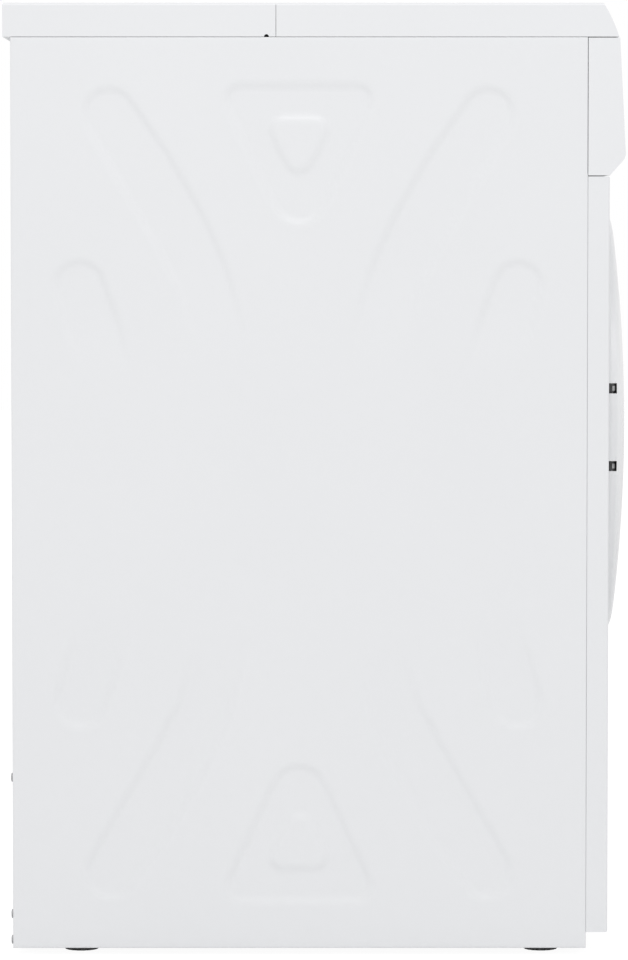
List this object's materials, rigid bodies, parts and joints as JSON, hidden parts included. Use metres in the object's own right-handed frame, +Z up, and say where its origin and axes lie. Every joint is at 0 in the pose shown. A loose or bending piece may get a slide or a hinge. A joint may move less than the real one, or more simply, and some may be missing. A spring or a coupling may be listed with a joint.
{
  "type": "clothes dryer",
  "caption": "Free-standing condenser clothes dryer: white steel cabinet with pressed side panels, round side-hinged front door, turning drum, drawer water tank and control fascia.",
  "frame": {"origin": "on the floor, under the middle of the overall box", "axes": "+Z up, front with the door towards -Y, +X to the viewer's right of the front"},
  "size_m": [0.597, 0.5692, 0.85],
  "materials": {
    "white_enamel": "satin",
    "white_plastic": "satin",
    "worktop": "satin laminate",
    "zinc_sheet": "galvanised",
    "black_plastic": "matte",
    "grey_plastic": "matte",
    "clear_plastic": "translucent",
    "lever_plastic": "matte",
    "drum_steel": "brushed",
    "steel": "turned",
    "bronze": "turned",
    "fins": "rolled",
    "motor_shell": "cast",
    "felt": "pressed felt",
    "filter_gauze": "fine mesh",
    "rubber": "matte",
    "foot_rubber": "matte",
    "window_glass": "smoked",
    "display": "gloss",
    "circuit": "lacquered"
  },
  "bodies": {
    "cabinet": {"left_side_panel": "white_enamel", "right_side_panel": "white_enamel", "rear_panel": "zinc_sheet", "rear_screws": "steel", "mains_gland": "rubber", "base_tray": "black_plastic", "top_rails": "zinc_sheet", "front_panel": "white_enamel", "top_front_frame": "white_plastic", "top_rear_frame": "white_plastic", "top_board": "worktop", "fascia": "white_plastic", "display_window": "display", "control_board": "circuit", "tank_tray": "grey_plastic", "hinge_bracket": "steel", "door_lock": "grey_plastic", "front_shield": "grey_plastic", "felt_seals": "felt", "shaft_bush": "bronze", "roller_axles": "steel", "rear_air_duct": "zinc_sheet", "heater": "steel", "blower_housing": "black_plastic", "motor_housing": "motor_shell", "drive_belt": "rubber", "condenser": "fins", "drain_pump": "grey_plastic"},
    "door": {"door_ring": "white_plastic", "hinge_pins": "steel", "door_window": "window_glass", "door_back": "grey_plastic", "door_seal": "rubber", "door_hook": "white_plastic"},
    "drum": {"drum_shell": "drum_steel", "drum_rear_wall": "drum_steel", "drum_lifters": "black_plastic", "drum_shaft": "steel"},
    "rotor": {"motor_shaft": "steel", "cooling_fan": "black_plastic", "process_fan": "black_plastic"},
    "water_tank": {"water_tank": "clear_plastic", "tank_front": "white_plastic"},
    "lint_filter": {"lint_filter_frame": "grey_plastic", "lint_filter_mesh": "filter_gauze"},
    "left_roller": {"left_roller": "rubber"},
    "right_roller": {"right_roller": "rubber"},
    "idler_arm": {"idler_arm": "steel"},
    "idler_pulley": {"idler_pulley": "grey_plastic"},
    "program_knob": {"program_knob": "white_plastic"},
    "option_button": {"option_button": "white_plastic"},
    "start_button": {"start_button": "white_plastic"},
    "condenser_flap": {"condenser_flap": "white_plastic"},
    "left_lock_lever": {"left_lock_lever": "lever_plastic"},
    "right_lock_lever": {"right_lock_lever": "lever_plastic"},
    "pump_float": {"pump_float": "grey_plastic"},
    "front_left_foot": {"front_left_foot": "foot_rubber"},
    "front_right_foot": {"front_right_foot": "foot_rubber"},
    "rear_left_foot": {"rear_left_foot": "foot_rubber"},
    "rear_right_foot": {"rear_right_foot": "foot_rubber"}
  },
  "joints": [
    {"name": "door_swing", "type": "hinge", "parent": "cabinet", "child": "door", "pos_m": [-0.189, -0.2639, 0.467], "axis": [0, 0, -1], "range_deg": [0, 105]},
    {"name": "drum_spin", "type": "hinge", "parent": "cabinet", "child": "drum", "pos_m": [0, 0, 0.467], "axis": [0, 1, 0], "continuous": true},
    {"name": "motor_spin", "type": "hinge", "parent": "cabinet", "child": "rotor", "pos_m": [0.165, 0, 0.116], "axis": [0, 1, 0], "continuous": true},
    {"name": "left_roller_spin", "type": "hinge", "parent": "cabinet", "child": "left_roller", "pos_m": [-0.21446, 0, 0.25254], "axis": [0, 1, 0], "continuous": true},
    {"name": "right_roller_spin", "type": "hinge", "parent": "cabinet", "child": "right_roller", "pos_m": [0.21446, 0, 0.25254], "axis": [0, 1, 0], "continuous": true},
    {"name": "idler_swing", "type": "hinge", "parent": "cabinet", "child": "idler_arm", "pos_m": [0.14638, 0, 0.09225], "axis": [0, -1, 0], "range_deg": [0, 20], "stiffness_Nm_per_rad": 1.5, "springref_deg": -20.05},
    {"name": "idler_spin", "type": "hinge", "parent": "idler_arm", "child": "idler_pulley", "pos_m": [0.08919, 0, 0.1162], "axis": [0, 1, 0], "continuous": true},
    {"name": "knob_turn", "type": "hinge", "parent": "cabinet", "child": "program_knob", "pos_m": [0, -0.26632, 0.759], "axis": [0, -0.9987, 0.0518], "continuous": true},
    {"name": "option_press", "type": "slide", "parent": "cabinet", "child": "option_button", "axis": [0, 0.9987, -0.0518], "range_m": [0, 0.002], "stiffness_N_per_m": 400, "springref_m": -0.001},
    {"name": "start_press", "type": "slide", "parent": "cabinet", "child": "start_button", "axis": [0, 0.9987, -0.0518], "range_m": [0, 0.002], "stiffness_N_per_m": 400, "springref_m": -0.001},
    {"name": "tank_draw", "type": "slide", "parent": "cabinet", "child": "water_tank", "axis": [0, -1, 0], "range_m": [0, 0.35]},
    {"name": "filter_lift", "type": "slide", "parent": "cabinet", "child": "lint_filter", "axis": [0, 0, -1], "range_m": [-0.17, 0]},
    {"name": "flap_swing", "type": "hinge", "parent": "cabinet", "child": "condenser_flap", "pos_m": [-0.249, -0.2504, 0.103], "axis": [0, 0, -1], "range_deg": [0, 95]},
    {"name": "left_lock_turn", "type": "hinge", "parent": "cabinet", "child": "left_lock_lever", "pos_m": [-0.223, -0.2309, 0.102], "axis": [0, -1, 0], "range_deg": [0, 90]},
    {"name": "right_lock_turn", "type": "hinge", "parent": "cabinet", "child": "right_lock_lever", "pos_m": [-0.051, -0.2309, 0.102], "axis": [0, 1, 0], "range_deg": [0, 90]},
    {"name": "float_lift", "type": "slide", "parent": "cabinet", "child": "pump_float", "axis": [0, 0, 1], "range_m": [0, 0.03]},
    {"name": "front_left_foot_turn", "type": "hinge", "parent": "cabinet", "child": "front_left_foot", "pos_m": [-0.255, -0.1964, 0], "axis": [0, 0, 1], "continuous": true},
    {"name": "front_right_foot_turn", "type": "hinge", "parent": "cabinet", "child": "front_right_foot", "pos_m": [0.255, -0.1964, 0], "axis": [0, 0, 1], "continuous": true},
    {"name": "rear_left_foot_turn", "type": "hinge", "parent": "cabinet", "child": "rear_left_foot", "pos_m": [-0.255, 0.2181, 0], "axis": [0, 0, 1], "continuous": true},
    {"name": "rear_right_foot_turn", "type": "hinge", "parent": "cabinet", "child": "rear_right_foot", "pos_m": [0.255, 0.2181, 0], "axis": [0, 0, 1], "continuous": true}
  ],
  "couplings": [
    {"joint": "motor_spin", "follows": "drum_spin", "ratio": 28.225},
    {"joint": "left_roller_spin", "follows": "drum_spin", "ratio": -7.6571},
    {"joint": "right_roller_spin", "follows": "drum_spin", "ratio": -7.6571},
    {"joint": "idler_spin", "follows": "drum_spin", "ratio": -13.788}
  ]
}
